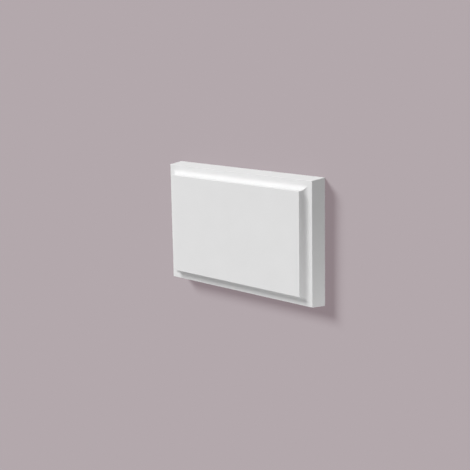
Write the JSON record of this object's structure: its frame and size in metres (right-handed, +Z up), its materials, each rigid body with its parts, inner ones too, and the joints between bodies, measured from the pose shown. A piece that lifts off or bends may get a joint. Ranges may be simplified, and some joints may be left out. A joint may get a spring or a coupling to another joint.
{
  "type": "rusticated quoin",
  "caption": "Rectangular facade quoin with drafted sides, a flat margin and a raised flat field bordered by a mitred hollow, with a flat back for bedding on a wall.",
  "frame": {"origin": "middle of the flat back face, on the wall plane", "axes": "+X along the stone's length, +Z up as it is fixed, -Y out of the wall towards the viewer, so +Y is the back face's outward normal, into the wall"},
  "size_m": [0.4, 0.0485, 0.25],
  "materials": {
    "white_primer": "matt white primer over a moulded skin of rigid foam"
  },
  "bodies": {
    "root": {"quoin_block": "white_primer"}
  },
  "joints": []
}
